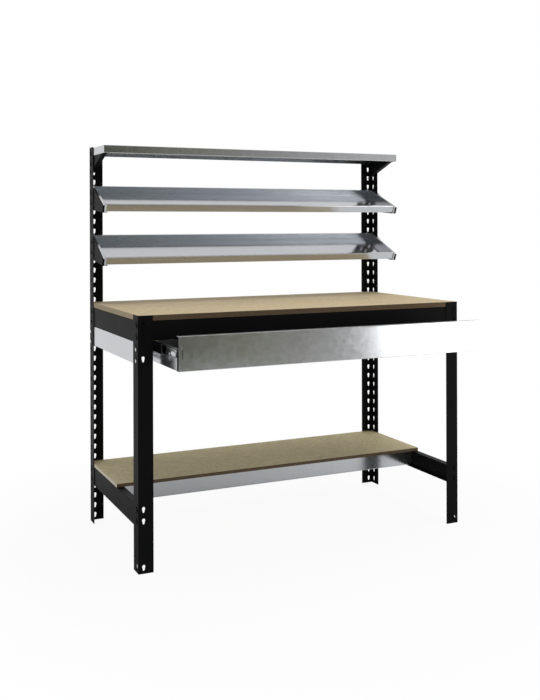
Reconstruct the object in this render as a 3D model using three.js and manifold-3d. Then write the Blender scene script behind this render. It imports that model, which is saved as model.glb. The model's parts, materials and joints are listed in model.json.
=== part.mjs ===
// A boltless steel workbench. Four angle posts with keyholes carry hooked beams, a chipboard worktop and
// a lower board. A wide drawer runs on telescopic slides, and the tall rear uprights carry three trays.
// Millimetres. X runs along the bench to the right, Y to the rear and Z up, with the floor at zero.

import * as THREE from 'three';
import { mergeVertices } from 'three/addons/utils/BufferGeometryUtils.js';
import Module from 'manifold-3d';

const wasm = await Module();
wasm.setup();

// Overall sizes
const benchWidth = 1280;
const benchDepth = 610;
const uprightHeight = 1445;
const legHeight = 847;

// Shared fits
const seatGap = 0.3; // between pieces that touch on the real bench
const overrun = 2; // how far a cutter passes the faces that it cuts
const bendSteps = 3; // facets in a sheet's bend

// Angle posts and their keyholes
const angleFlange = 52;
const angleSheet = 2;
const angleBend = 0.8;
const keyholePitch = 38;
const firstKeyhole = 19.5; // height of the lowest keyhole's middle
const keyholeLine = 18; // from the post's outer corner
const keyholeHeight = 20;
const keyholeHeadRadius = 5.5;
const keyholeSlotRadius = 3;
const keyholeHeadSteps = 5;
const keyholeSlotSteps = 3;

// Studs staked in the ends of beams and brackets
const studHead = 2;
const studHeadRadius = 6;
const studHeadSides = 10;
const studShankSides = 6;
const studPlay = 0.4; // round the shank in its slot

// Beams folded from sheet, open to the inside
const beamSheet = 1.5;
const beamBend = 1.5;
const beamLedge = 28; // top flange that the board lies on
const beamLip = 14; // bottom flange
const longBeamHeight = 66;
const sideBeamHeight = 72;
const lowerBeamTop = 217.4;

// Boards
const worktopThickness = 18;
const shelfThickness = 12;
const shelfFront = 48; // how far the lower board's front edge lies before the bench's middle
const lowerFrontBeamFace = 4; // and the beam under it

// Galvanised panels that carry the slides
const carrierSheet = 1.2;
const carrierHeight = 73;
const carrierFoot = 15; // bottom flange
const carrierInnerHeight = 35;

// Drawer
const drawerEndGap = 12.5; // between the drawer front's ends and the legs
const drawerFrontHeight = 110;
const drawerFrontDepth = 20;
const drawerTrayInset = 0.8; // of the side walls behind the front's ends
const drawerTrayDrop = 2.7; // of their top edge below the front beam
const drawerTrayHeight = 71;
const drawerTrayShort = 5; // by which the tray is shorter than its slides
const drawerSheet = 1;
const drawerBend = 1;
const drawerReturn = 8; // top edge of the side walls, folded inwards
const drawerShutGap = 1; // between the shut front and the bench's front beam
const drawerOpening = 194; // how far the drawer is out at rest
const frontSlotWidth = 2.5;
const frontSlotHeight = 29;
const frontSlotEdge = 11.5; // from the drawer front's end
const frontSlotRise = 39; // above its bottom edge

// Telescopic slides
const slideDepth = 12.7;
const slideSheet = 1.2;
const slideBend = 0.8;
const slideRearRoom = 91.1; // behind the slides
const slideMiddleShort = 20; // by which the middle member is shorter
const slideDrop = 16; // of the slide's middle below the drawer's top edge
const outerMemberHeight = 45;
const outerMemberDepth = 10.2;
const ballGap = 3.5; // between the flanges of two members
const cageSheet = 0.8;
const cageLength = 220;
const cageStart = 3; // from the front end of its member, drawer fully out
const middleRunShare = 0.5; // of the drawer's run, for the middle member
const outerCageRunShare = 0.25;
const innerCageRunShare = 0.75;
const memberStep = 1.4; // by which each flange stops short of the one outside it

// Trays between the uprights
const traySheet = 1;
const trayBend = 0.8;
const trayDepth = 200;
const trayLip = 29;
const trayReturn = 7; // lip edge, folded inwards
const trayCornerTab = 8;
const trayClearance = 1; // behind the tilted trays
const topTrayRise = 22.5; // of its top above its upper studs
const middleTrayTilt = 22.3; // degrees, as it hangs
const lowerTrayTilt = 25;
const middleTrayGapShare = 0.1405; // of the free height over the worktop, above the middle tray's plates
const lowerTrayGapShare = 0.31; // and between them and the lower tray's plates

// Brackets at the trays' ends
const bracketSheet = 1.5;
const bracketFlange = 18;
const plateDrop = 66; // below the tray's rear fold
const plateRise = 40; // above it
const plateToeDrop = 4; // below the tray's front fold
const plateToeRise = 17.5; // above it
const gussetRearHeight = 91;
const gussetToeHeight = 20;
const gussetSetback = 9; // behind the top tray's front

// Finishes
const blackPaint = new THREE.MeshStandardMaterial({ color: 0x1b1b1d, roughness: 0.45, metalness: 0.1 });
const galvanised = new THREE.MeshStandardMaterial({ color: 0xb4b8ba, roughness: 0.35, metalness: 0.9 });
const slideSteel = new THREE.MeshStandardMaterial({ color: 0x9a9da0, roughness: 0.3, metalness: 0.9 });
const chipboard = new THREE.MeshStandardMaterial({ color: 0xbeac8e, roughness: 0.8, metalness: 0 });

// Inner faces of the angles, and the faces of what lies against them
const postFaceX = benchWidth / 2;
const postFaceY = benchDepth / 2;
const insideX = postFaceX - angleSheet - seatGap;
const insideY = postFaceY - angleSheet - seatGap;
const keyholeX = postFaceX - keyholeLine;
const keyholeY = postFaceY - keyholeLine;

// Solids

function solidOf(geometry) {
  geometry.deleteAttribute('normal');
  geometry.deleteAttribute('uv');
  const merged = mergeVertices(geometry);
  const mesh = new wasm.Mesh({
    numProp: 3,
    vertProperties: new Float32Array(merged.attributes.position.array),
    triVerts: new Uint32Array(merged.index.array),
  });
  return new wasm.Manifold(mesh);
}

function geometryOf(solid) {
  const mesh = solid.getMesh();
  const geometry = new THREE.BufferGeometry();
  geometry.setAttribute('position', new THREE.BufferAttribute(mesh.vertProperties, 3));
  geometry.setIndex(new THREE.BufferAttribute(mesh.triVerts, 1));
  return geometry;
}

const union = (solids) => solids.reduce((whole, solid) => whole.add(solid));
const cut = (solid, cutters) => cutters.reduce((left, cutter) => left.subtract(cutter), solid);

// The mirror image in the plane x = 0 or y = 0
function mirrored(axis, solid) {
  const geometry = geometryOf(solid);
  geometry.scale(axis === 'x' ? -1 : 1, axis === 'y' ? -1 : 1, 1);
  const corners = geometry.index.array;
  for (let i = 0; i < corners.length; i += 3) {
    [corners[i], corners[i + 1]] = [corners[i + 1], corners[i]];
  }
  return solidOf(geometry);
}

const axisX = new THREE.Vector3(1, 0, 0);
const axisY = new THREE.Vector3(0, 1, 0);
const axisZ = new THREE.Vector3(0, 0, 1);
const turns = {
  x: new THREE.Matrix4().makeBasis(axisY, axisZ, axisX),
  y: new THREE.Matrix4().makeBasis(axisZ, axisX, axisY),
  z: new THREE.Matrix4(),
};

// An outline run along an axis. Its points are (y, z) for X, (x, z) for Y and (x, y) for Z.
function prism(axis, outline, low, high) {
  const points = outline.map(([a, b]) => (axis === 'y' ? new THREE.Vector2(b, a) : new THREE.Vector2(a, b)));
  const options = { depth: high - low, bevelEnabled: false };
  const geometry = new THREE.ExtrudeGeometry(new THREE.Shape(points), options);
  geometry.translate(0, 0, low);
  geometry.applyMatrix4(turns[axis]);
  return solidOf(geometry);
}

function block([xLow, xHigh], [yLow, yHigh], [zLow, zHigh]) {
  const outline = [[xLow, yLow], [xHigh, yLow], [xHigh, yHigh], [xLow, yHigh]];
  return prism('z', outline, zLow, zHigh);
}

function roundBar(axis, [a, b], radius, sides, low, high) {
  const outline = [];
  for (let i = 0; i < sides; i++) {
    const angle = (2 * Math.PI * i) / sides;
    outline.push([a + radius * Math.cos(angle), b + radius * Math.sin(angle)]);
  }
  return prism(axis, outline, low, high);
}

// The two faces of bent sheet in section. The corners are those of one face, and the other is to its left.
function sheetFaces(corners, sheet, bend) {
  const face = corners.map(([a, b]) => new THREE.Vector2(a, b));
  const near = [];
  const far = [];
  face.forEach((corner, i) => {
    const before = i > 0 ? corner.clone().sub(face[i - 1]).normalize() : null;
    const after = i < face.length - 1 ? face[i + 1].clone().sub(corner).normalize() : null;
    const along = before ?? after;
    const left = new THREE.Vector2(-along.y, along.x);
    if (!before || !after) {
      near.push(corner);
      far.push(corner.clone().addScaledVector(left, sheet));
      return;
    }
    const turn = Math.atan2(before.cross(after), before.dot(after));
    const side = Math.sign(turn);
    const nearRadius = side > 0 ? bend + sheet : bend;
    const farRadius = side > 0 ? bend : bend + sheet;
    const centre = corner.clone();
    centre.addScaledVector(before, -nearRadius * Math.tan(Math.abs(turn) / 2));
    centre.addScaledVector(left, side * nearRadius);
    for (let step = 0; step <= bendSteps; step++) {
      const spoke = left.clone().multiplyScalar(-side);
      spoke.rotateAround(new THREE.Vector2(), (turn * step) / bendSteps);
      near.push(centre.clone().addScaledVector(spoke, nearRadius));
      far.push(centre.clone().addScaledVector(spoke, farRadius));
    }
  });
  return [near, far].map((line) => line.map((point) => [point.x, point.y]));
}

function sheetSection(corners, sheet, bend) {
  const [near, far] = sheetFaces(corners, sheet, bend);
  return [...near, ...far.reverse()];
}

// Keyholes and studs

const keyholeMiddle = (number) => firstKeyhole + number * keyholePitch;
const studSeat = (number) => keyholeMiddle(number) - keyholeHeight / 2 + keyholeSlotRadius;
const lastKeyhole = Math.floor((uprightHeight - keyholeHeight / 2 - firstKeyhole) / keyholePitch);
const allKeyholes = Array.from({ length: lastKeyhole + 1 }, (_, number) => number);

// Numbers of the keyholes whose stud has room between two heights
function keyholesWithin(low, high) {
  return allKeyholes.filter((number) => {
    const seat = studSeat(number);
    return seat - studHeadRadius >= low && seat + studHeadRadius <= high;
  });
}

// Points round part of a circle
function arc([a, b], radius, start, sweep, steps) {
  return Array.from({ length: steps + 1 }, (_, step) => {
    const angle = start + (sweep * step) / steps;
    return [a + radius * Math.cos(angle), b + radius * Math.sin(angle)];
  });
}

// A round head above that tapers to a narrow slot
function keyholeOutline(across, number) {
  const head = keyholeMiddle(number) + keyholeHeight / 2 - keyholeHeadRadius;
  const slot = studSeat(number);
  const lean = Math.asin((keyholeHeadRadius - keyholeSlotRadius) / (head - slot));
  return [
    ...arc([across, head], keyholeHeadRadius, -lean, Math.PI + 2 * lean, keyholeHeadSteps),
    ...arc([across, slot], keyholeSlotRadius, Math.PI + lean, Math.PI - 2 * lean, keyholeSlotSteps),
  ];
}

// Studs that stand out along an axis through a post's flange, with their heads outside it
function studs(axis, across, numbers, root, postFace) {
  const headStart = postFace + seatGap;
  const shankRadius = keyholeSlotRadius - studPlay;
  return union(numbers.map((number) => {
    const place = [across, studSeat(number)];
    const shank = roundBar(axis, place, shankRadius, studShankSides, root, headStart + studHead / 2);
    return shank.add(roundBar(axis, place, studHeadRadius, studHeadSides, headStart, headStart + studHead));
  }));
}

// Posts

// The right rear one of four, with its keyholes' numbers in the flange at the bench's end and in the other
function rearPost(height, endNumbers, longNumbers) {
  const corners = [
    [postFaceX, postFaceY - angleFlange],
    [postFaceX, postFaceY],
    [postFaceX - angleFlange, postFaceY],
  ];
  const angle = prism('z', sheetSection(corners, angleSheet, angleBend), 0, height);
  const keyholes = (axis, across, face, numbers) => numbers.map((number) => (
    prism(axis, keyholeOutline(across, number), face - angleSheet - overrun, face + overrun)
  ));
  const endKeyholes = keyholes('x', keyholeY, postFaceX, endNumbers);
  const longKeyholes = keyholes('y', keyholeX, postFaceY, longNumbers);
  return cut(angle, [...endKeyholes, ...longKeyholes]);
}

// Beams

const benchBeamTop = legHeight - worktopThickness - seatGap;
const tallestBeam = Math.max(longBeamHeight, sideBeamHeight);
const lowerLongBottom = lowerBeamTop - longBeamHeight;
const longBeamEnd = insideX - beamSheet - seatGap;
const longBeamLedgeEdge = insideY - beamLedge - seatGap;

function beamSection(face, low, high) {
  const corners = [[face - beamLip, low], [face, low], [face, high], [face - beamLedge, high]];
  return sheetSection(corners, beamSheet, beamBend);
}

// The rear one of a pair, between the uprights
function longBeam(top) {
  const low = top - longBeamHeight;
  const body = prism('x', beamSection(insideY, low, top), -longBeamEnd, longBeamEnd);
  const end = studs('y', keyholeX, keyholesWithin(low, top), insideY - beamSheet / 2, postFaceY);
  return union([body, end, mirrored('x', end)]);
}

// The right one of a pair. Its flanges stop at the long beams, and its web goes on into the corners.
function sideBeam(top) {
  const low = top - sideBeamHeight;
  const body = prism('y', beamSection(insideX, low, top), -longBeamLedgeEdge, longBeamLedgeEdge);
  const web = block([insideX - beamSheet, insideX], [-insideY, insideY], [low + beamBend, top - beamBend]);
  const end = studs('x', keyholeY, keyholesWithin(low, top), insideX - beamSheet / 2, postFaceX);
  return union([body, web, end, mirrored('y', end)]);
}

// The lower board's front beam lies between the side beams, with a tab against each web
function lowerFrontBeam() {
  const face = lowerFrontBeamFace;
  const endTop = lowerBeamTop - beamSheet - beamBend - seatGap;
  const body = prism('x', beamSection(face, lowerLongBottom, lowerBeamTop), -longBeamEnd, longBeamEnd);
  const tab = block(
    [longBeamEnd - beamSheet, longBeamEnd],
    [face - beamLedge, face],
    [lowerLongBottom + beamBend, endTop],
  );
  const ledgeRoom = block(
    [insideX - beamLedge - seatGap, insideX],
    [face - beamLedge - overrun, face + overrun],
    [endTop, lowerBeamTop + overrun],
  );
  const whole = union([body, tab, mirrored('x', tab)]);
  return mirrored('y', cut(whole, [ledgeRoom, mirrored('x', ledgeRoom)]));
}

// Drawer and what carries it, drawn shut

const carrierTop = benchBeamTop - tallestBeam - seatGap;
const carrierBottom = carrierTop - carrierHeight;
const carrierKeyholes = keyholesWithin(carrierBottom, carrierTop);
const drawerEnd = postFaceX - angleFlange - drawerEndGap;
const drawerSide = drawerEnd - drawerTrayInset;
const drawerTrayTop = benchBeamTop - longBeamHeight - drawerTrayDrop;
const drawerBottom = drawerTrayTop - drawerTrayHeight;
const carrierInside = drawerSide + slideDepth + 2 * seatGap;
const frontBack = -insideY - drawerShutGap; // rear edge of the shut drawer front
const trayFront = frontBack + seatGap;
const slideHeight = drawerTrayTop - slideDrop;
const outerStart = -insideY + beamLip + seatGap;
const slideLength = insideY - slideRearRoom - outerStart;

function carrier() {
  const corners = [
    [insideX - carrierFoot, carrierBottom],
    [insideX, carrierBottom],
    [insideX, carrierTop],
    [carrierInside, carrierTop],
    [carrierInside, carrierTop - carrierInnerHeight],
  ];
  const body = prism('y', sheetSection(corners, carrierSheet, beamBend), -insideY, insideY);
  const end = studs('x', keyholeY, carrierKeyholes, insideX - carrierSheet / 2, postFaceX);
  return union([body, end, mirrored('y', end)]);
}

function drawerFront() {
  const face = frontBack - drawerFrontDepth;
  const top = drawerBottom + drawerFrontHeight;
  const end = drawerEnd;
  const corners = [[frontBack, top], [face, top], [face, drawerBottom], [frontBack, drawerBottom]];
  const panel = prism('x', sheetSection(corners, drawerSheet, drawerBend), -end, end);
  const flap = block(
    [end - drawerSheet, end],
    [face + drawerBend, frontBack],
    [drawerBottom + drawerBend, top - drawerBend],
  );
  const slotX = end - frontSlotEdge;
  const slotLow = drawerBottom + frontSlotRise;
  const slot = block(
    [slotX - frontSlotWidth / 2, slotX + frontSlotWidth / 2],
    [face - overrun, face + overrun],
    [slotLow, slotLow + frontSlotHeight],
  );
  return cut(union([panel, flap, mirrored('x', flap)]), [slot, mirrored('x', slot)]);
}

function drawerTray() {
  const top = drawerTrayTop;
  const rear = trayFront + slideLength - drawerTrayShort;
  const corners = [
    [-drawerSide + drawerReturn, top],
    [-drawerSide, top],
    [-drawerSide, drawerBottom],
    [drawerSide, drawerBottom],
    [drawerSide, top],
    [drawerSide - drawerReturn, top],
  ];
  const [outside, inside] = sheetFaces(corners, drawerSheet, drawerBend);
  const whole = prism('y', outside, trayFront, rear);
  const cavityY = [trayFront + drawerSheet, rear - drawerSheet];
  const mouthEdge = drawerSide - drawerReturn;
  const mouth = block([-mouthEdge, mouthEdge], cavityY, [top - 2 * drawerSheet, top + overrun]);
  return cut(whole, [prism('y', inside, ...cavityY), mouth]);
}

// Slide members nest in each other, with a row of balls in a cage between each two. Heights are half
// heights about the slide's middle, and depths run from the carrier towards the drawer.
const outerBack = drawerSide + seatGap + slideDepth;
const outerHalf = outerMemberHeight / 2;
const middleHalf = outerHalf - slideSheet - ballGap;
const innerHalf = middleHalf - slideSheet - ballGap;
const outerCageBack = outerBack - slideSheet - seatGap;
const middleBack = outerCageBack - cageSheet - seatGap;
const innerCageBack = middleBack - slideSheet - seatGap;
const innerTip = innerCageBack - cageSheet - seatGap;
const outerTip = outerBack - outerMemberDepth;
const middleTip = outerTip + memberStep;
const cageRest = outerStart + slideLength * outerCageRunShare + cageStart;

function channelMember(back, tip, half, start, length) {
  const outline = [[tip, -half], [back, -half], [back, half], [tip, half]];
  const corners = outline.map(([x, z]) => [x, slideHeight + z]);
  return prism('y', sheetSection(corners, slideSheet, slideBend), start, start + length);
}

// The inner member opens to the other side
function innerMember() {
  const back = drawerSide + seatGap;
  const outline = [[innerTip, innerHalf], [back, innerHalf], [back, -innerHalf], [innerTip, -innerHalf]];
  const corners = outline.map(([x, z]) => [x, slideHeight + z]);
  return prism('y', sheetSection(corners, slideSheet, slideBend), trayFront, trayFront + slideLength);
}

// A strip behind the member's web, with an arm in the ball gap above and below
function ballCage(back, tip, memberHalf) {
  const armOut = memberHalf + ballGap - seatGap;
  const armIn = memberHalf + seatGap;
  const web = back - cageSheet;
  const outline = [
    [tip, -armOut], [back, -armOut], [back, armOut], [tip, armOut],
    [tip, armIn], [web, armIn], [web, -armIn], [tip, -armIn],
  ];
  const points = outline.map(([x, z]) => [x, slideHeight + z]);
  return prism('y', points, cageRest, cageRest + cageLength);
}

// Trays and brackets

// A pan with its rear fold at y = 0, its floor at z = 0 and its lips up, their edges folded inwards
function pan(half) {
  const front = -trayDepth;
  const corners = [
    [front + trayReturn, trayLip],
    [front, trayLip],
    [front, 0],
    [0, 0],
    [0, trayLip],
    [-trayReturn, trayLip],
  ];
  const [outside, inside] = sheetFaces(corners, traySheet, trayBend);
  const whole = prism('x', outside, -half, half);
  const cavity = prism('x', inside, traySheet - half, half - traySheet);
  const mouth = block(
    [trayReturn - half, half - trayReturn],
    [front + trayReturn, -trayReturn],
    [trayLip - 2 * traySheet, trayLip + overrun],
  );
  return cut(whole, [cavity, mouth]);
}

// The same pan with the end lips folded round onto the flat of the front lip
function tabbedPan(half) {
  const tab = block(
    [half - trayCornerTab, half],
    [-trayDepth - traySheet, traySheet / 2 - trayDepth],
    [trayBend + traySheet, trayLip - trayBend - traySheet],
  );
  return union([pan(half), tab, mirrored('x', tab)]);
}

const topTrayHalf = insideX;
const topTrayTop = studSeat(lastKeyhole) + topTrayRise;
const topTrayFront = insideY - trayDepth;
const tiltedTrayHalf = insideX - bracketSheet - seatGap;
const tiltedTrayRear = postFaceY - angleSheet - trayClearance;
const gussetX = topTrayHalf - traySheet - seatGap;
const gussetTop = topTrayTop - traySheet - seatGap;
const gussetRear = insideY - traySheet - seatGap;
const gussetLow = gussetTop - gussetRearHeight;
const gussetStuds = keyholesWithin(gussetLow, gussetTop);

// The tilted trays share out the height that the gussets, their own plates and the worktop leave free
const lowerTrayAngle = THREE.MathUtils.degToRad(lowerTrayTilt);
const lowerToeDepth = trayDepth * Math.sin(lowerTrayAngle) + plateToeDrop * Math.cos(lowerTrayAngle);
const freeHeight = gussetLow - legHeight - 2 * plateRise - plateDrop - lowerToeDepth;
const middleTrayRear = gussetLow - freeHeight * middleTrayGapShare - plateRise;
const lowerTrayRear = middleTrayRear - plateDrop - freeHeight * lowerTrayGapShare - plateRise;

// The top tray lies upside down. Its lips' folded edges make room for the gussets, and its end lips have
// holes for the studs that pass them.
function topTray() {
  const gussetRoom = block(
    [gussetX - bracketFlange - seatGap, topTrayHalf - traySheet],
    [traySheet - trayDepth, -traySheet],
    [trayLip / 2, trayLip + overrun],
  );
  const lipHoles = gussetStuds.map((number) => {
    const middle = [topTrayFront - keyholeY, topTrayTop - studSeat(number)];
    return roundBar('x', middle, keyholeSlotRadius, studHeadSides, gussetX, topTrayHalf + overrun);
  });
  const cutters = [gussetRoom, ...lipHoles];
  return cut(pan(topTrayHalf), [...cutters, ...cutters.map((cutter) => mirrored('x', cutter))]);
}

// A flange of bracket sheet along one edge of a plate, on the left of the line from start to end
function edgeFlange(start, end, xLow, xHigh) {
  const along = new THREE.Vector2(end[0] - start[0], end[1] - start[1]).normalize();
  const raised = ([y, z]) => [y - along.y * bracketSheet, z + along.x * bracketSheet];
  return prism('x', [start, end, raised(end), raised(start)], xLow, xHigh);
}

// Height of a sloping edge at one place along Y
function heightAt(y, [yStart, zStart], [yEnd, zEnd]) {
  return zStart + ((y - yStart) * (zEnd - zStart)) / (yEnd - yStart);
}

// Right end plate of a tilted tray, drawn round the tray's section
function endPlate(rearFold, tilt) {
  const angle = THREE.MathUtils.degToRad(tilt);
  // Run is measured from the tray's rear fold along its floor, and rise square to it
  const alongTray = (run, rise) => [
    tiltedTrayRear - run * Math.cos(angle) - rise * Math.sin(angle),
    rearFold - run * Math.sin(angle) + rise * Math.cos(angle),
  ];
  const rearLow = [insideY, rearFold - plateDrop];
  const toeLow = alongTray(trayDepth, -plateToeDrop);
  const toeHigh = alongTray(trayDepth, plateToeRise);
  const rearHigh = [insideY, rearFold + plateRise];
  const plate = prism('x', [rearLow, toeLow, toeHigh, rearHigh], insideX - bracketSheet, insideX);
  const flange = edgeFlange(toeLow, rearLow, insideX - bracketFlange, insideX);
  const low = heightAt(keyholeY, toeLow, rearLow);
  const high = heightAt(keyholeY, toeHigh, rearHigh);
  const end = studs('x', keyholeY, keyholesWithin(low, high), insideX - bracketSheet / 2, postFaceX);
  return union([plate, flange, end]);
}

// Right gusset of the top tray, inside its end lip
function gusset() {
  const front = topTrayFront + gussetSetback;
  const rearLow = [gussetRear, gussetLow];
  const toeLow = [front, gussetTop - gussetToeHeight];
  const toeHigh = [front, gussetTop];
  const rearHigh = [gussetRear, gussetTop];
  const plate = prism('x', [rearLow, toeLow, toeHigh, rearHigh], gussetX - bracketSheet, gussetX);
  const slope = edgeFlange(toeLow, rearLow, gussetX - bracketFlange, gussetX);
  const seat = edgeFlange(rearHigh, toeHigh, gussetX - bracketFlange, gussetX);
  const end = studs('x', keyholeY, gussetStuds, gussetX - bracketSheet / 2, postFaceX);
  return union([plate, slope, seat, end]);
}

// Assembly

const bench = new THREE.Group();
const drawerGroup = new THREE.Group();
const middleGroup = new THREE.Group();
const outerCageGroup = new THREE.Group();
const innerCageGroup = new THREE.Group();
bench.add(drawerGroup, middleGroup, outerCageGroup, innerCageGroup);

// The slide's middle member moves half as far as the drawer, and each cage as far as its two members on
// average
drawerGroup.position.y = -drawerOpening;
middleGroup.position.y = -drawerOpening * middleRunShare;
outerCageGroup.position.y = -drawerOpening * outerCageRunShare;
innerCageGroup.position.y = -drawerOpening * innerCageRunShare;

function place(name, solid, material, group = bench) {
  const geometry = geometryOf(solid);
  geometry.computeVertexNormals();
  const mesh = new THREE.Mesh(geometry, material);
  mesh.name = name;
  group.add(mesh);
  return mesh;
}

function placePair(name, rightSolid, material, group = bench) {
  place(`${name}_left`, mirrored('x', rightSolid), material, group);
  place(`${name}_right`, rightSolid, material, group);
}

// The legs have keyholes where something hooks in, and one at the foot
const beamKeyholes = [
  0,
  ...keyholesWithin(lowerBeamTop - tallestBeam, lowerBeamTop),
  ...keyholesWithin(benchBeamTop - tallestBeam, benchBeamTop),
];
const legEndKeyholes = [...beamKeyholes, ...carrierKeyholes];
const legFrontKeyholes = [...beamKeyholes, ...carrierKeyholes.slice(0, 1)];
placePair('upright_rear', rearPost(uprightHeight, allKeyholes, allKeyholes), blackPaint);
placePair('leg_front', mirrored('y', rearPost(legHeight, legEndKeyholes, legFrontKeyholes)), blackPaint);

const benchLongBeam = longBeam(benchBeamTop);
place('bench_beam_front', mirrored('y', benchLongBeam), blackPaint);
place('bench_beam_rear', benchLongBeam, blackPaint);
placePair('bench_beam_side', sideBeam(benchBeamTop), blackPaint);
const worktop = block([-insideX, insideX], [-insideY, insideY], [legHeight - worktopThickness, legHeight]);
place('worktop_board', worktop, chipboard);

placePair('drawer_carrier', carrier(), galvanised);
placePair('slide_outer', channelMember(outerBack, outerTip, outerHalf, outerStart, slideLength), slideSteel);
const middleLength = slideLength - slideMiddleShort;
const middleMember = channelMember(middleBack, middleTip, middleHalf, outerStart, middleLength);
placePair('slide_middle', middleMember, slideSteel, middleGroup);
placePair('slide_inner', innerMember(), slideSteel, drawerGroup);
placePair('slide_cage_outer', ballCage(outerCageBack, middleTip, middleHalf), slideSteel, outerCageGroup);
placePair('slide_cage_inner', ballCage(innerCageBack, middleTip, innerHalf), slideSteel, innerCageGroup);
place('drawer_front', drawerFront(), galvanised, drawerGroup);
place('drawer_tray', drawerTray(), galvanised, drawerGroup);

placePair('lower_beam_side', sideBeam(lowerBeamTop), blackPaint);
place('lower_beam_rear', longBeam(lowerBeamTop), galvanised);
place('lower_beam_front', lowerFrontBeam(), galvanised);
const shelfLow = lowerBeamTop + seatGap;
const shelf = block([-insideX, insideX], [-shelfFront, insideY], [shelfLow, shelfLow + shelfThickness]);
place('lower_shelf_board', shelf, chipboard);

const topTrayMesh = place('top_tray', topTray(), galvanised);
topTrayMesh.rotation.x = Math.PI;
topTrayMesh.position.set(0, topTrayFront, topTrayTop);
placePair('top_tray_gusset', gusset(), blackPaint);

const tiltedPan = tabbedPan(tiltedTrayHalf);
for (const [name, rearFold, tilt] of [
  ['middle_tray', middleTrayRear, middleTrayTilt],
  ['lower_tray', lowerTrayRear, lowerTrayTilt],
]) {
  const tray = place(name, tiltedPan, galvanised);
  tray.rotation.x = THREE.MathUtils.degToRad(tilt);
  tray.position.set(0, tiltedTrayRear, rearFold);
  placePair(`${name}_bracket`, endPlate(rearFold, tilt), blackPaint);
}

// The frame's origin is on the floor, in the middle of the bench with its drawer as it stands at rest
const frontmost = frontBack - drawerFrontDepth - drawerOpening;
const rearmost = postFaceY + seatGap + studHead;
bench.position.y = -(frontmost + rearmost) / 2;

export default bench;
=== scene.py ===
# Looks of the boltless workbench: its studio and finishes, and the small parts its solids leave out
import json
import math

import bmesh
import bpy
from mathutils import Matrix, Vector


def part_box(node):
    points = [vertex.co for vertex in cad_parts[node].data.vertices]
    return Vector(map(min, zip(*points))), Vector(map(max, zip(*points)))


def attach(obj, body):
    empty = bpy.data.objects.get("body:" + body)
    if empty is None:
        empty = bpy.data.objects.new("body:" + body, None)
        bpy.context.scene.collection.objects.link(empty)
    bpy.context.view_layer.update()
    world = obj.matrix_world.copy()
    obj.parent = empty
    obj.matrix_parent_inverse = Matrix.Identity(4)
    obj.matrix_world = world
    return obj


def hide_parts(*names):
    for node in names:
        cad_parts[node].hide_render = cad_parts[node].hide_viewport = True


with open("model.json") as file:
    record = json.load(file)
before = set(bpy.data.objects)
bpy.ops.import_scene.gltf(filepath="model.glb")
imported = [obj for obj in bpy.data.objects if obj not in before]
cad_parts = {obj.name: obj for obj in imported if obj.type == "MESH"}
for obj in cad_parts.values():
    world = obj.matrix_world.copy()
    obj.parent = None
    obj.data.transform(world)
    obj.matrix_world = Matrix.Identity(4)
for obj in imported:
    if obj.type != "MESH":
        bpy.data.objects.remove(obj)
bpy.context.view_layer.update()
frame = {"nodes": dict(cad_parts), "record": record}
nodes = frame["nodes"]
scene = bpy.context.scene
scene.view_settings.view_transform = "Standard"
print("bench loaded:", len(nodes), "nodes")


class Wire:  # an output socket, on which plain arithmetic adds Math nodes
    def __init__(self, sheet, socket):
        self.sheet, self.socket = sheet, socket

    def math(self, operation, *terms):
        return self.sheet.add("ShaderNodeMath", {"operation": operation}, dict(enumerate(terms)))

    def __add__(self, other):
        return self.math("ADD", self, other)

    def __sub__(self, other):
        return self.math("SUBTRACT", self, other)

    def __rsub__(self, other):
        return self.math("SUBTRACT", other, self)

    def __mul__(self, other):
        return self.math("MULTIPLY", self, other)

    def __truediv__(self, other):
        return self.math("DIVIDE", self, other)

    def __rtruediv__(self, other):
        return self.math("DIVIDE", other, self)

    def __gt__(self, other):
        return self.math("GREATER_THAN", self, other)

    def __lt__(self, other):
        return self.math("LESS_THAN", self, other)

    def __abs__(self):
        return self.math("ABSOLUTE", self)

    def clamped(self):
        return self.math("MINIMUM", self.math("MAXIMUM", self, 0.0), 1.0)

    __radd__ = __add__
    __rmul__ = __mul__


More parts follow.
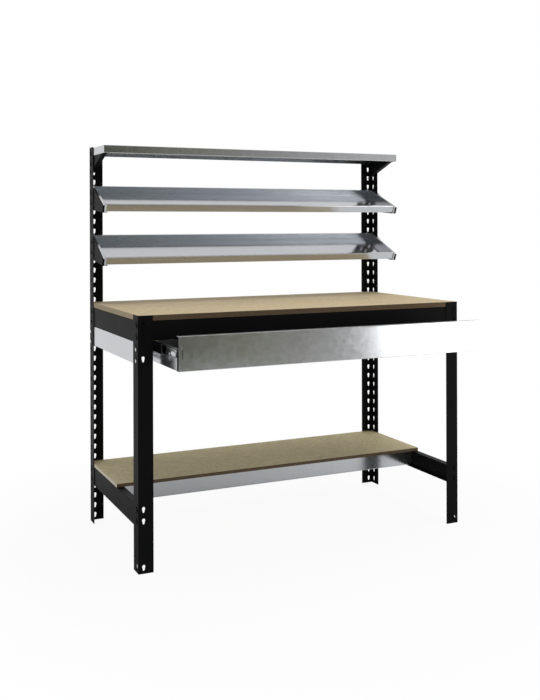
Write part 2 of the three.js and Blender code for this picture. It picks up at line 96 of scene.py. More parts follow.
class Sheet:  # a node tree that is written line by line
    def __init__(self, tree):
        self.tree = tree

    def add(self, kind, settings=None, sockets=None, output=0):
        node = self.tree.nodes.new(kind)
        for name, value in (settings or {}).items():
            if name == "stops":
                self.setStops(node.color_ramp, value)
            else:
                setattr(node, name, value)
        for key, value in (sockets or {}).items():
            if isinstance(value, Wire):
                self.tree.links.new(value.socket, node.inputs[key])
            elif isinstance(value, list):  # several links into one socket
                for wire in value:
                    self.tree.links.new(wire.socket, node.inputs[key])
            else:
                node.inputs[key].default_value = value
        return Wire(self, node.outputs[output]) if node.outputs else None

    def setStops(self, ramp, stops):
        while len(ramp.elements) < len(stops):
            ramp.elements.new(1.0)
        for element, (position, colour) in zip(ramp.elements, stops):
            element.position = position
            element.color = (*colour, 1.0)

    def ramp(self, factor, stops):
        return self.add("ShaderNodeValToRGB", {"stops": stops}, {"Fac": factor})

    def mix(self, factor, first, second):  # of colours, each as three numbers or as a wire
        ends = [(*end, 1.0) if isinstance(end, tuple) else end for end in (first, second)]
        sockets = {0: factor, 6: ends[0], 7: ends[1]}
        return self.add("ShaderNodeMix", {"data_type": "RGBA"}, sockets, 2)

    def noise(self, place, scale, detail=2.0, rough=0.5, output=0):
        sockets = {"Vector": place, "Scale": scale, "Detail": detail, "Roughness": rough}
        return self.add("ShaderNodeTexNoise", {}, sockets, output)

    def flakes(self, place, scale):  # cells, each with a tone of its own
        cells = self.add("ShaderNodeTexVoronoi", {}, {"Vector": place, "Scale": scale}, "Color")
        return self.add("ShaderNodeSeparateColor", {}, {0: cells})

    def stretched(self, place, scale):
        return self.add("ShaderNodeMapping", {}, {"Vector": place, "Scale": scale})

    def along(self, vector, axis):  # one of a vector's three numbers
        return self.add("ShaderNodeSeparateXYZ", {}, {0: vector}, axis)

    def moved(self, vector, shift):
        return self.add("ShaderNodeVectorMath", {"operation": "ADD"}, {0: vector, 1: shift})

    def scaled(self, vector, factor):
        sockets = {0: vector, "Scale": factor}
        return self.add("ShaderNodeVectorMath", {"operation": "SCALE"}, sockets)

    def bumped(self, height, strength=1.0, distance=1.0):
        sockets = {"Strength": strength, "Distance": distance, "Height": height}
        return self.add("ShaderNodeBump", {}, sockets)


def weighed(wires, weights):  # the sum of the wires, each times its weight
    parts = [wire * weight for wire, weight in zip(wires, weights)]
    return sum(parts[1:], parts[0])


def around(mean, wires, spreads):  # a wire moves the mean by up to half its spread, up or down
    return weighed(wires, spreads) + (mean - sum(spreads) / 2)


def newFinish(name):
    material = bpy.data.materials.new(name)
    material.use_nodes = True
    material.node_tree.nodes.clear()
    sheet = Sheet(material.node_tree)
    return material, sheet, sheet.add("ShaderNodeTexCoord", output="Object")


def finishWith(sheet, sockets):
    shader = sheet.add("ShaderNodeBsdfPrincipled", {}, sockets)
    sheet.add("ShaderNodeOutputMaterial", {}, {"Surface": shader})


def grey(value, tint=(1.0, 1.0, 1.0)):
    return tuple(value * share for share in tint)


# Camera, at the photograph's place
camera = {
    "place": (-1.5490, -3.0560, 1.1404),
    "turn": 0.4164,  # to the right of straight ahead, in radians
    "roll": -0.0032,
    "pixels": (540, 700),
    "focus": 910.8,  # in pixels
    "axis": (236.5, 225.9),  # point of the picture that the lens looks at
    "sensor": 36.0,  # in millimetres
    "reach": (0.05, 60.0),  # nearest and farthest that it sees
}


def makeCamera(view):
    data = bpy.data.cameras.new("camera")
    wide, tall = view["pixels"]
    data.sensor_width = view["sensor"]
    data.lens = view["focus"] * view["sensor"] / tall
    data.shift_x = (wide / 2 - view["axis"][0]) / tall
    data.shift_y = -(tall / 2 - view["axis"][1]) / tall
    data.clip_start, data.clip_end = view["reach"]
    turn, roll = view["turn"], view["roll"]
    ahead = Vector((math.sin(turn), math.cos(turn), 0.0))
    side = Vector((ahead.y, -ahead.x, 0.0))
    up = Vector((0.0, 0.0, 1.0))
    right = side * math.cos(roll) + up * math.sin(roll)
    top = up * math.cos(roll) - side * math.sin(roll)
    turned = Matrix((right, top, -ahead)).transposed().to_4x4()
    holder = bpy.data.objects.new("camera", data)
    holder.matrix_world = Matrix.Translation(view["place"]) @ turned
    scene.collection.objects.link(holder)
    scene.camera = holder


makeCamera(camera)
print("camera placed")


# Studio: pale floor, white surround, soft boxes, and a graded card behind the camera, which the
# metal reflects
studio = {
    "floorReach": 14.0,  # from its middle to its sides
    "floorColour": (0.85, 0.85, 0.85, 1.0),
    "glowNear": (0.93, 0.22),  # share of plain white by the bench, as seen and as reflected
    "glowReach": (0.95, 1.5),  # from the bench's middle, where it starts to rise and is all white
    "glowDip": (-0.3, 0.6),  # middle and half width of a strip that is less white as reflected
    "dipDepth": 0.6,  # how much less, for each metre from the strip's edges
    "roomLight": 0.44,
    "roomTint": (0.97, 0.985, 1.0, 1.0),
    "cardBox": ((-4.5, -3.9, 0.0), (4.6, -3.9, 2.5)),
    "cardSpan": (0.5, 4.1),  # from its dark end to its light end
    "cardStops": [
        (0.0, (0.05, 0.055, 0.02)),
        (0.22, (0.22, 0.22, 0.145)),
        (0.42, (0.36, 0.35, 0.33)),
        (1.0, (0.92, 0.92, 0.90)),
    ],
    "bandHeights": (0.85, 0.95, 1.25, 1.35),  # a cooler band, which the tilted trays' lips see
    "bandStops": [
        (0.0, (0.28, 0.31, 0.34)),
        (0.12, (0.40, 0.44, 0.48)),
        (0.3, (0.60, 0.65, 0.72)),
        (0.5, (0.86, 0.91, 1.0)),
        (0.6, (0.66, 0.70, 0.78)),
        (1.0, (0.5, 0.53, 0.57)),
    ],
    "bandLevel": 1.85,  # times its colours
    "lamps": [
        # name, place, aim, size, power, tint, seen in reflections
        ("lampAbove", (0.3, -0.35, 3.4), (0.1, 0.0, 0.8), (3.6, 3.0), 56.0,
         (1.0, 0.985, 0.95), False),
        ("lampRight", (2.6, -1.7, 1.4), (0.3, -0.1, 0.8), (1.0, 1.6), 18.0,
         (1.0, 1.0, 1.0), False),
        ("lampLow", (3.4, -3.75, 0.42), (3.15, 0.0, 0.42), (2.0, 0.8), 24.0,
         (1.0, 1.0, 1.0), True),
        ("lampLeft", (-3.6, 1.4, 1.8), (-0.6, 0.0, 0.8), (2.4, 2.6), 5.0,
         (0.93, 0.95, 1.0), False),
    ],
}


def flatMesh(name, corners, finish):
    mesh = bpy.data.meshes.new(name)
    mesh.from_pydata(corners, [], [tuple(range(len(corners)))])
    mesh.materials.append(finish)
    made = bpy.data.objects.new(name, mesh)
    scene.collection.objects.link(made)
    return made


def raysAre(sheet, *kinds):  # 1 for rays of these kinds, and 0 for others
    path = sheet.add("ShaderNodeLightPath").socket.node
    wires = [Wire(sheet, path.outputs[kind]) for kind in kinds]
    return sum(wires[1:], wires[0]).clamped()


def makeFloor(room):
    finish, sheet, place = newFinish("studioFloor")
    away = sheet.add("ShaderNodeVectorMath", {"operation": "LENGTH"}, {0: place}, "Value")
    start, end = room["glowReach"]
    far = ((away - start) / (end - start)).clamped()
    middle, half = room["glowDip"]
    aside = abs(sheet.along(place, 0) - middle) - half
    seen, mirrored = [far * (1.0 - near) + near for near in room["glowNear"]]
    mirrored = (mirrored + aside * room["dipDepth"]).clamped()
    glow = raysAre(sheet, "Is Camera Ray") * seen + raysAre(sheet, "Is Glossy Ray") * mirrored
    lit = sheet.add("ShaderNodeBsdfDiffuse", {}, {"Color": room["floorColour"]})
    white = sheet.add("ShaderNodeEmission", {}, {"Strength": 1.0})
    shader = sheet.add("ShaderNodeMixShader", {}, {0: glow, 1: lit, 2: white})
    sheet.add("ShaderNodeOutputMaterial", {}, {"Surface": shader})
    reach = room["floorReach"]
    corners = [(x * reach, y * reach, 0.0) for x, y in ((-1, -1), (1, -1), (1, 1), (-1, 1))]
    return flatMesh("floor", corners, finish)


def makeCard(room):
    finish, sheet, place = newFinish("studioCard")
    start, end = room["cardSpan"]
    across = (sheet.along(place, 0) - start) / (end - start)
    up = sheet.along(place, 2)
    low0, low1, high0, high1 = room["bandHeights"]
    fadeIn = ((up - low0) / (low1 - low0)).clamped()
    fadeOut = ((high1 - up) / (high1 - high0)).clamped()
    bright = sheet.scaled(sheet.ramp(across, room["bandStops"]), room["bandLevel"])
    tone = sheet.mix(fadeIn * fadeOut, sheet.ramp(across, room["cardStops"]), bright)
    lit = sheet.add("ShaderNodeEmission", {}, {"Color": tone, "Strength": 1.0})
    sheet.add("ShaderNodeOutputMaterial", {}, {"Surface": lit})
    (x0, y0, z0), (x1, y1, z1) = room["cardBox"]
    card = flatMesh("card", [(x0, y0, z0), (x1, y0, z0), (x1, y1, z1), (x0, y1, z1)], finish)
    card.visible_camera = False
    card.visible_shadow = False
    return card


def makeSurround(room):
    world = bpy.data.worlds.new("surround")
    world.use_nodes = True
    world.node_tree.nodes.clear()
    sheet = Sheet(world.node_tree)
    sockets = {"Color": room["roomTint"], "Strength": room["roomLight"]}
    light = sheet.add("ShaderNodeBackground", {}, sockets)
    sockets = {"Color": (1.0, 1.0, 1.0, 1.0), "Strength": 1.0}
    white = sheet.add("ShaderNodeBackground", {}, sockets)
    seen = raysAre(sheet, "Is Camera Ray", "Is Glossy Ray", "Is Transmission Ray")
    shader = sheet.add("ShaderNodeMixShader", {}, {0: seen, 1: light, 2: white})
    sheet.add("ShaderNodeOutputWorld", {}, {"Surface": shader})
    scene.world = world


def makeLamps(room):
    for name, place, aim, size, power, tint, reflected in room["lamps"]:
        data = bpy.data.lights.new(name, "AREA")
        data.shape = "RECTANGLE"
        data.size, data.size_y = size
        data.energy, data.color = power, tint
        lamp = bpy.data.objects.new(name, data)
        lamp.location = place
        lamp.rotation_mode = "QUATERNION"
        lamp.rotation_quaternion = (Vector(aim) - Vector(place)).to_track_quat("-Z", "Y")
        lamp.visible_glossy = reflected
        scene.collection.objects.link(lamp)


floor = makeFloor(studio)
card = makeCard(studio)
makeSurround(studio)
makeLamps(studio)
print("studio lit")


# Black powder coat on posts, beams and brackets
powderCoat = {
    "base": 0.0075,
    "spread": (0.75, 1.3),  # times the base, in the dark and the light clouds
    "lightTint": (1.0, 1.0, 1.04),
    "specular": 0.022,
    "cloudScale": 6.0,
    "roughness": 0.42,
    "roughSpreads": (0.12, 0.06),  # by clouds and by peel
    "peelScale": 900.0,  # orange peel, about a millimetre
    "peelHeight": 0.00004,
    "peelStrength": 0.5,
}


def makePowderCoat(look):
    material, sheet, place = newFinish("blackPowderCoat")
    cloud = sheet.noise(place, look["cloudScale"], detail=4.0)
    peel = sheet.noise(place, look["peelScale"], detail=1.0)
    dark, light = [look["base"] * share for share in look["spread"]]
    finishWith(sheet, {
        "Base Color": sheet.mix(cloud, grey(dark), grey(light, look["lightTint"])),
        "Roughness": around(look["roughness"], (cloud, peel), look["roughSpreads"]),
        "Normal": sheet.bumped(peel, look["peelStrength"], look["peelHeight"]),
        "Specular IOR Level": look["specular"],
    })
    return material


# Galvanised sheet on drawer, trays, carriers and the galvanised lower beams
zincSheet = {
    "dark": 0.48,
    "light": 0.55,
    "tint": (0.965, 0.99, 1.03),
    "metallic": 0.9,
    "spangle": 90.0,  # crystals to a metre
    "cloudScale": 9.0,
    "grain": (40.0, 900.0, 900.0),  # fine lines along the bench
    "shadeWeights": (0.30, 0.50, 0.20),  # of crystals, clouds and grain
    "roughness": 0.155,
    "roughSpreads": (0.03, 0.03, 0.03),
    "waveScale": 3.2,
    "heights": (0.0008, 0.000004),  # of waves and grain
}


def makeZincSheet(look):
    material, sheet, place = newFinish("galvanisedSheet")
    crystal = sheet.flakes(place, look["spangle"])
    cloud = sheet.noise(place, look["cloudScale"], detail=3.0)
    grain = sheet.noise(sheet.stretched(place, look["grain"]), 1.0)
    wave = sheet.noise(place, look["waveScale"], detail=1.0)
    shade = weighed((crystal, cloud, grain), look["shadeWeights"])
    dark, light = [grey(look[end], look["tint"]) for end in ("dark", "light")]
    finishWith(sheet, {
        "Base Color": sheet.mix(shade, dark, light),
        "Metallic": look["metallic"],
        "Roughness": around(look["roughness"], (crystal, cloud, grain), look["roughSpreads"]),
        "Normal": sheet.bumped(weighed((wave, grain), look["heights"])),
    })
    return material


# Bright zinc on the slides, drawn lengthwise, and two more metals of the same make
slideZinc = {
    "dark": 0.34,
    "light": 0.48,
    "tint": (0.98, 0.99, 1.0),
    "roughness": 0.17,
    "lines": (1400.0, 25.0, 1400.0),  # fine ones along the slides
    "cloudScale": 40.0,
    "shadeWeights": (0.7, 0.3),  # of lines and clouds
    "roughSpreads": (0.14, 0.08),
    "lineHeight": 0.00002,
    "lineStrength": 0.4,
}
mattZinc = {**slideZinc, "dark": 0.70, "light": 0.82, "tint": (0.98, 0.99, 1.02), "roughness": 0.55}
# dark steel for the slot tongues, the dark pieces of painted shade
darkSteel = {**slideZinc, "dark": 0.08, "light": 0.12, "tint": (1.0, 1.0, 1.0), "roughness": 0.5}


def makeSlideZinc(look):
    material, sheet, place = newFinish("slideZinc")
    line = sheet.noise(sheet.stretched(place, look["lines"]), 1.0, detail=3.0)
    cloud = sheet.noise(place, look["cloudScale"])
    shade = weighed((line, cloud), look["shadeWeights"])
    dark, light = [grey(look[end], look["tint"]) for end in ("dark", "light")]
    finishWith(sheet, {
        "Base Color": sheet.mix(shade, dark, light),
        "Metallic": 1.0,
        "Roughness": around(look["roughness"], (line, cloud), look["roughSpreads"]),
        "Normal": sheet.bumped(line, look["lineStrength"], look["lineHeight"]),
    })
    return material


# Raw chipboard: fine flakes on the faces, a coarse core on the long edges that is painted darker as
# painted shade, and ends painted paler as painted light from the left
chipboard = {
    "face": ((0.38, 0.29, 0.165), (0.66, 0.55, 0.36)),  # darkest and lightest
    # painted shade: the long edges' coarse core is darker than real chipboard, as if little light
    # fell on them
    "coreWithShade": ((0.048, 0.029, 0.014), (0.18, 0.125, 0.072)),
    # painted light: both ends, which face along the bench, are paler as if lit from the left
    "litEnds": ((0.26, 0.20, 0.115), (0.62, 0.52, 0.34)),
    "turnLimit": 0.5,  # how far a normal leans to one axis before it counts as facing there
    "flake": 190.0,  # flakes to a metre
    "flakeStretch": (0.45, 1.0, 1.0),  # longer along the bench
    "warp": (60.0, 0.012),  # scale and size of the waves in the flakes' outlines
    "dustScale": 700.0,
    "cloudScale": 7.0,
    "shadeWeights": (0.45, 0.35, 0.20),  # of flakes, dust and clouds
    "coreGrain": (110.0, 110.0, 330.0),  # crumbs in the edges, pressed flat
    "roughness": 0.72,
    "roughSpreads": (0.12,),  # by dust
    "heights": (0.00006, 0.00008, 0.0012),  # of flakes, dust and the edges' core
    "bumpStrength": 0.7,
    "specular": 0.3,
}
# The lower board is a little greener, and its ends are painted paler still, as painted light from
# the left
shelfBoard = {
    **chipboard,
    "face": ((0.45, 0.37, 0.20), (0.82, 0.72, 0.46)),
    "litEnds": ((0.62, 0.56, 0.44), (0.93, 0.87, 0.74)),
}


def makeChipboard(look):
    material, sheet, place = newFinish("chipboard")
    facing = sheet.add("ShaderNodeTexCoord", output="Normal")
    isEdge = abs(sheet.along(facing, 2)) < look["turnLimit"]
    # faces that look along the bench, which get the painted light of the ends
    isLitEnd = abs(sheet.along(facing, 0)) > look["turnLimit"]
    warpScale, warpSize = look["warp"]
    wander = sheet.scaled(sheet.noise(place, warpScale, output="Color"), warpSize)
    long = sheet.stretched(sheet.moved(place, wander), look["flakeStretch"])
    flake = sheet.flakes(long, look["flake"])
    dust = sheet.noise(place, look["dustScale"], detail=3.0, rough=0.6)
    cloud = sheet.noise(place, look["cloudScale"], detail=3.0)
    crumb = sheet.noise(sheet.stretched(place, look["coreGrain"]), 1.0, detail=3.0, rough=0.65)
    shade = weighed((flake, dust, cloud), look["shadeWeights"])
    # long edges take the core colours with their painted shade, ends the paler colours of painted
    # light
    edge = sheet.mix(isLitEnd, sheet.mix(crumb, *look["coreWithShade"]), sheet.mix(crumb, *look["litEnds"]))
    height = weighed((flake, dust, isEdge * crumb), look["heights"])
    finishWith(sheet, {
        "Base Color": sheet.mix(isEdge, sheet.mix(shade, *look["face"]), edge),
        "Roughness": around(look["roughness"], (dust,), look["roughSpreads"]),
        "Normal": sheet.bumped(height, look["bumpStrength"]),
        "Specular IOR Level": look["specular"],
    })
    return material


finishes = {
    "black_paint": makePowderCoat(powderCoat),
    "galvanised_sheet": makeZincSheet(zincSheet),
    "slide_steel": makeSlideZinc(slideZinc),
    "matt_zinc": makeSlideZinc(mattZinc),
    "dark_steel": makeSlideZinc(darkSteel),
    "chipboard": makeChipboard(chipboard),
}
ownFinishes = {"lower_shelf_board": makeChipboard(shelfBoard)}  # for single nodes
for part in frame["record"]["subparts"]:
    node = nodes[part["node"]]
    finish = ownFinishes.get(part["node"], finishes[part["material_slot"]])
    if not node.material_slots:
        node.data.materials.append(finish)
    for slot in node.material_slots:
        slot.material = finish
print("finishes laid on")


toFrame = 0.1052  # moves a depth measured from the posts' middle into the frame
sides = {"left": -1, "right": 1}
rounding = {"segments": 2, "angle": 0.6}  # of bevelled edges, and how sharp an edge gets one


class Shape:  # plain solids gathered into one mesh
    def __init__(self):
        self.mesh = bmesh.new()

    def prism(self, outline, shift):  # outline is a flat ring of points, and shift its extrusion
        ring = [self.mesh.verts.new(point) for point in outline]
        last = [self.mesh.verts.new(Vector(point) + Vector(shift)) for point in outline]
        faces = [self.mesh.faces.new(ring), self.mesh.faces.new(last)]
        for i in range(len(ring)):
            j = (i + 1) % len(ring)
            faces.append(self.mesh.faces.new((ring[i], ring[j], last[j], last[i])))
        bmesh.ops.recalc_face_normals(self.mesh, faces=faces)

    def slab(self, corner, opposite):
        (x0, x1), (y0, y1), (z0, z1) = [sorted(pair) for pair in zip(corner, opposite)]
        self.prism([(x0, y0, z0), (x0, y1, z0), (x0, y1, z1), (x0, y0, z1)], (x1 - x0, 0.0, 0.0))

    def piece(self, name, finish, bevel=0.0):
        mesh = bpy.data.meshes.new(name)
        self.mesh.to_mesh(mesh)
        self.mesh.free()
        mesh.materials.append(finishes[finish])
        made = bpy.data.objects.new(name, mesh)
        scene.collection.objects.link(made)
        if bevel:
            rounded = made.modifiers.new("rounded", "BEVEL")
            rounded.width, rounded.segments = bevel, rounding["segments"]
            rounded.limit_method, rounded.angle_limit = "ANGLE", rounding["angle"]
            fixed(made)
        return made


def fixed(made):  # turns an object and its modifiers into a plain mesh
    seen = made.evaluated_get(bpy.context.evaluated_depsgraph_get())
    mesh = bpy.data.meshes.new_from_object(seen)
    made.modifiers.clear()
    made.data = mesh
    mesh.name = made.name


def newTree(name, inputs):
    tree = bpy.data.node_groups.new(name, "GeometryNodeTree")
    for label, kind in [("Geometry", "Geometry"), *inputs.items()]:
        tree.interface.new_socket(label, in_out="INPUT", socket_type="NodeSocket" + kind)
    tree.interface.new_socket("Geometry", in_out="OUTPUT", socket_type="NodeSocketGeometry")
    sheet = Sheet(tree)
    entry = sheet.add("NodeGroupInput").socket.node
    return sheet, {socket.name: Wire(sheet, socket) for socket in entry.outputs if socket.name}


def endTree(sheet, parts, finish):
    whole = sheet.add("GeometryNodeJoinGeometry", {}, {0: parts})
    real = sheet.add("GeometryNodeRealizeInstances", {}, {0: whole})
    done = sheet.add("GeometryNodeSetMaterial", {}, {0: real, "Material": finish})
    sheet.add("NodeGroupOutput", {}, {0: done})
    return sheet.tree


def laidOn(made, tree, values):  # adds a tree as a modifier, with inputs set by their identifiers
    row = made.modifiers.new(tree.name, "NODES")
    row.node_group = tree
    for item in tree.interface.items_tree:
        if item.in_out == "INPUT" and item.name in values:
            row[item.identifier] = values[item.name]


# The two tilted trays' places, and folded straps round the corners of their front lips
tiltedTrays = {
    "trays": {"middle": (1.2711, 22.3), "lower": (1.0822, 25.0)},  # fold's height, tilt in degrees
    "rearFold": 0.302 + toFrame,
    "run": 0.200,  # from the rear fold to the front lip
}
trayStrap = {
    "rises": (-0.0006, 0.0294),  # underside and top, from the tray's floor
    "inner": 0.6262,  # ends along the bench, from its middle
    "outer": 0.6343,
    "slope": 0.6272,  # from here the strap slopes back to its outer end
    "steps": 6,  # of the slope
    "bend": 0.2,  # share of the slope that comes late, as a round
    "proud": 0.0029,  # of the lip
    "end": 0.0012,  # how proud it still is at its outer end
    "lift": 0.0001,  # off the lip
    "corner": [(0.0001, -0.0004), (0.0009, 0.0)],  # the round of its inner front edge
    "tab": (0.6279, 0.00102),  # the lip's own tab: from where, how proud
}


def trayPoint(tray, x, run, rise):
    height, tilt = tiltedTrays["trays"][tray]
    lean = math.radians(tilt)
    y = tiltedTrays["rearFold"] - run * math.cos(lean) - rise * math.sin(lean)
    return (x, y, height - run * math.sin(lean) + rise * math.cos(lean))


def addAtLip(shape, tray, sign, path, rises):  # path goes along the bench and out from the lip
    low, high = rises
    places = [(sign * x, tiltedTrays["run"] + proud) for x, proud in path]
    ring = [trayPoint(tray, x, run, low) for x, run in places]
    tip = trayPoint(tray, *places[0], high)
    shape.prism(ring, Vector(tip) - Vector(ring[0]))


def strapPath(sizes):
    inner, outer, proud = sizes["inner"], sizes["outer"], sizes["proud"]
    slope, bend, steps = sizes["slope"], sizes["bend"], sizes["steps"]
    path = [(inner, sizes["lift"])]
    path += [(inner + along, proud + deep) for along, deep in sizes["corner"]]
    for step in range(steps + 1):  # starts on the front and ends facing outwards
        part = step / steps
        sunk = (1.0 - bend) * part + bend * part ** 4
        path.append((slope + (outer - slope) * part, proud - (proud - sizes["end"]) * sunk))
    tab, tabProud = sizes["tab"]
    return path + [(outer, tabProud), (tab, tabProud), (tab, sizes["lift"])]


def makeTrayStraps(sizes):
    for tray in tiltedTrays["trays"]:
        shape = Shape()
        for sign in sides.values():
            addAtLip(shape, tray, sign, strapPath(sizes), sizes["rises"])
        strap = shape.piece(f"{tray}_tray_corner_straps", "galvanised_sheet")
        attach(strap, "frame")


makeTrayStraps(trayStrap)
print("tray straps made")


# The drawer front is open at its ends: its folds run straight through
openFront = {
    "cut": 0.5735,  # where the solid's end flaps are cut off
    "end": 0.5755,  # how far the folds then run
    "near": 1e-6,  # what counts as the same place
}


def makeOpenFront(sizes):
    shape = Shape()
    mesh = shape.mesh
    mesh.from_mesh(nodes["drawer_front"].data)
    bmesh.ops.remove_doubles(mesh, verts=mesh.verts, dist=sizes["near"])
    for sign in sides.values():
        cut = sign * sizes["cut"]
        whole = mesh.verts[:] + mesh.edges[:] + mesh.faces[:]
        done = bmesh.ops.bisect_plane(mesh, geom=whole, plane_co=(cut, 0, 0),
                                      plane_no=(sign, 0, 0), clear_outer=True)
        rim = [item for item in done["geom_cut"] if isinstance(item, bmesh.types.BMEdge)]
        bmesh.ops.holes_fill(mesh, edges=rim)
        for vert in mesh.verts:
            if abs(vert.co.x - cut) < sizes["near"]:
                vert.co.x = sign * sizes["end"]
    for face in mesh.faces:
        face.smooth = False
    front = shape.piece("drawer_front_folded", "galvanised_sheet")
    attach(front, "drawer")
    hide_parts("drawer_front")


makeOpenFront(openFront)
print("drawer front folded")


# Tapered dark tongues behind the slots near the drawer front's ends: painted shade, a dark piece
# standing in for the shade seen through the slots
slotShadeTongue = {
    "place": 0.5640,  # from the bench's middle
    "depths": (-0.4114, -0.4104),  # front and back
    "heights": (0.7270, 0.7585),
    "halfWidths": (0.0024, 0.0006),  # at its foot and at its tip
    "bevel": 0.0002,
}


def makeSlotShadeTongues(sizes):
    wide, narrow = sizes["halfWidths"]
    low, high = sizes["heights"]
    front, back = sizes["depths"]
    for side, sign in sides.items():
        x = sign * sizes["place"]
        shape = Shape()
        ring = [(x - wide, front, low), (x + wide, front, low),
                (x + narrow, front, high), (x - narrow, front, high)]
        shape.prism(ring, (0.0, back - front, 0.0))
        shadeTongue = shape.piece(f"drawer_slot_shade_tongue_{side}", "dark_steel", sizes["bevel"])
        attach(shadeTongue, "drawer")


makeSlotShadeTongues(slotShadeTongue)
print("slot tongues made")


# Flanges across the toes of the tilted trays' brackets, in front of the trays' corners
toeFlange = {
    "stem": (0.6363, 0.6376),  # both from and to, along the bench
    "blade": (0.6345, 0.6422),
    "proud": (-0.001, 0.00105, 0.0024),  # of the lip: the stem's root, the blade's back and front
    "rises": (-0.0040, 0.0240),
    "bevel": 0.0003,
}


def makeToeFlanges(sizes):
    (stem0, stem1), (blade0, blade1) = sizes["stem"], sizes["blade"]
    root, back, front = sizes["proud"]
    path = [(stem0, root), (stem0, back), (blade0, back), (blade0, front),
            (blade1, front), (blade1, back), (stem1, back), (stem1, root)]
    for tray in tiltedTrays["trays"]:
        for side, sign in sides.items():
            shape = Shape()
            addAtLip(shape, tray, sign, path, sizes["rises"])
            flange = shape.piece(f"{tray}_tray_bracket_toe_{side}", "black_paint", sizes["bevel"])
            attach(flange, "frame")


makeToeFlanges(toeFlange)
print("bracket toes made")


# Ball cages: a bent strip with two arms, and a row of balls in the pockets of each
ballCage = {
    "balls": 22,
    "pitch": 0.0097,
    "ball": 0.00155,
    "pocket": 0.0018,  # half as wide as a pocket
    "sheet": 0.0008,
    "overhang": 0.6,  # by which an arm is longer than a pitch for each ball, in pitches
    "rim": 0.0004,  # beyond the pockets, at an arm's tip
    "inset": 0.0016,  # of the arms' middle from the node's top and underside
    "rounds": (10, 6),  # segments and rings of a ball
}


def cageTree(sizes):
    lengths = ("Pitch", "Ball", "Pocket", "Sheet", "Near", "Far")
    inputs = {"Start": "Vector", "Balls": "Int", **dict.fromkeys(lengths, "Float")}
    sheet, given = newTree("cageArm", {**inputs, "Finish": "Material"})
    start, pitch, pocket, count = [given[name] for name in ("Start", "Pitch", "Pocket", "Balls")]

    def vector(x, y, z):
        return sheet.add("ShaderNodeCombineXYZ", {}, {"X": x, "Y": y, "Z": z})

    def row(shape, first, number):
        sockets = {"Count": number, "Start Location": first, "Offset": vector(0.0, pitch, 0.0)}
        line = sheet.add("GeometryNodeMeshLine", {"mode": "OFFSET"}, sockets)
        return sheet.add("GeometryNodeInstanceOnPoints", {}, {"Points": line, "Instance": shape})

    def block(size):
        return sheet.add("GeometryNodeMeshCube", {}, {"Size": size})

    segments, rings = sizes["rounds"]
    sockets = {"Segments": segments, "Rings": rings, "Radius": given["Ball"]}
    ball = sheet.add("GeometryNodeMeshUVSphere", {}, sockets)
    smooth = sheet.add("GeometryNodeSetShadeSmooth", {}, {"Geometry": ball})
    rung = block(vector(pocket * 2.0, pitch - pocket * 2.0, given["Sheet"]))
    firstRung = sheet.moved(start, vector(0.0, pitch * -0.5, 0.0))
    parts = [row(smooth, start, count), row(rung, firstRung, count + 1.0)]
    for end in ("Near", "Far"):  # the rails on both sides of the pockets, to the web and to the tip
        edge = (given[end] > 0.0) * 2.0 - 1.0
        wide = abs(given[end]) - pocket
        shift = vector(edge * (pocket + wide * 0.5), pitch * (count - 1.0) * 0.5, 0.0)
        rail = block(vector(wide, pitch * (count + sizes["overhang"]), given["Sheet"]))
        sockets = {"Geometry": rail, "Translation": sheet.moved(start, shift)}
        parts.append(sheet.add("GeometryNodeTransform", {}, sockets))
    return endTree(sheet, [given["Geometry"], *parts], given["Finish"])


def makeBallCages(sizes):
    tree = cageTree(sizes)
    shared = {name: sizes[name.lower()] for name in ("Balls", "Pitch", "Ball", "Pocket", "Sheet")}
    for row in ("outer", "inner"):
        for side, sign in sides.items():
            node = f"slide_cage_{row}_{side}"
            low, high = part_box(node)
            web, tip = (high[0], low[0]) if sign > 0 else (low[0], high[0])
            inward = web - sign * sizes["sheet"]
            middle = (low[2] + high[2]) / 2
            reach = high[2] - middle - sizes["inset"]
            shape = Shape()
            shape.slab((web, low[1], middle - reach), (inward, high[1], middle + reach))
            cage = shape.piece(f"ball_{row}_cage_{side}", "slide_steel")
            balls = tip + sign * (sizes["pocket"] + sizes["rim"])
            room = (high[1] - low[1] - sizes["pitch"] * (sizes["balls"] - 1)) / 2
            for turn in (1, -1):
                start = (balls, low[1] + room, middle + turn * reach)
                laidOn(cage, tree, {**shared, "Start": start, "Near": web - balls,
                                    "Far": tip - balls, "Finish": finishes["slide_steel"]})
            fixed(cage)
            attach(cage, node)
            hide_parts(node)


makeBallCages(ballCage)
print("ball cages made")


# Stop tabs at the front of the drawer's slide members, and the rivets that hold the members
slideEnd = {
    "web": 0.5762,  # outer face of the member's web
    "tab": [(-0.3905, 0.7335), (-0.3905, 0.7455), (-0.352, 0.7465),
            (-0.3445, 0.7425), (-0.3445, 0.7365), (-0.352, 0.7330)],  # depths and heights
    "sheet": 0.0014,
    "curl": 0.0034,  # how far its front edge is turned outwards
    "bevel": 0.0004,
    "firstRivet": (-0.327, 0.736),  # depth and height
    "rivetStep": 0.092,
    "rivet": {"Count": 5, "Radius": 0.0034, "Crown": 0.0014},
}
rivetHead = {
    "sides": 16,
    "rim": (0.86, 0.55),  # its upper edge, as shares of the head's width and height
    "top": 0.5,  # the flat on the crown, as a share of the head's width
}


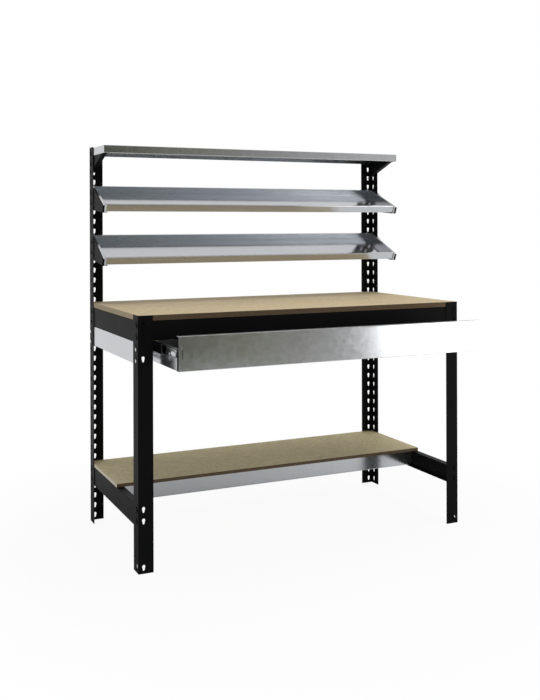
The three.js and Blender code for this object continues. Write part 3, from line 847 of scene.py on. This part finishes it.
def rivetTree(sizes):
    inputs = {"Count": "Int", "Start": "Vector", "Step": "Vector", "Radius": "Float",
              "Crown": "Float", "Turn": "Rotation", "Finish": "Material"}
    sheet, given = newTree("rivetRow", inputs)
    sockets = {"Count": given["Count"], "Start Location": given["Start"], "Offset": given["Step"]}
    line = sheet.add("GeometryNodeMeshLine", {"mode": "OFFSET"}, sockets)
    wide, tall = given["Radius"], given["Crown"]
    rimWide, rimTall = sizes["rim"]

    def cone(bottom, top, depth):
        sockets = {"Vertices": sizes["sides"], "Radius Bottom": bottom, "Radius Top": top,
                   "Depth": depth}
        return sheet.add("GeometryNodeMeshCone", {}, sockets)

    rim = cone(wide, wide * rimWide, tall * rimTall)
    crown = cone(wide * rimWide, wide * sizes["top"], tall * (1.0 - rimTall))
    above = sheet.add("ShaderNodeCombineXYZ", {}, {"Z": tall * rimTall})
    sockets = {"Geometry": crown, "Translation": above}
    raised = sheet.add("GeometryNodeTransform", {}, sockets)
    head = sheet.add("GeometryNodeJoinGeometry", {}, {0: [rim, raised]})
    sockets = {"Points": line, "Instance": head, "Rotation": given["Turn"]}
    heads = sheet.add("GeometryNodeInstanceOnPoints", {}, sockets)
    return endTree(sheet, [given["Geometry"], heads], given["Finish"])


def makeSlideEnds(sizes):
    tree = rivetTree(rivetHead)
    front, low = sizes["tab"][0]
    high = sizes["tab"][1][1]
    along, up = sizes["firstRivet"]
    for side, sign in sides.items():
        web = sign * sizes["web"]
        shape = Shape()
        shape.prism([(web, y, z) for y, z in sizes["tab"]], (sign * sizes["sheet"], 0.0, 0.0))
        shape.slab((web, front, low), (web + sign * sizes["curl"], front + sizes["sheet"], high))
        tab = shape.piece(f"slide_stop_{side}", "matt_zinc", sizes["bevel"])
        laidOn(tab, tree, {**sizes["rivet"], "Start": (web, along, up),
                           "Step": (0.0, sizes["rivetStep"], 0.0),
                           "Turn": (0.0, sign * math.pi / 2, 0.0),
                           "Finish": finishes["matt_zinc"]})
        fixed(tab)
        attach(tab, "drawer")


makeSlideEnds(slideEnd)
print("slide ends made")
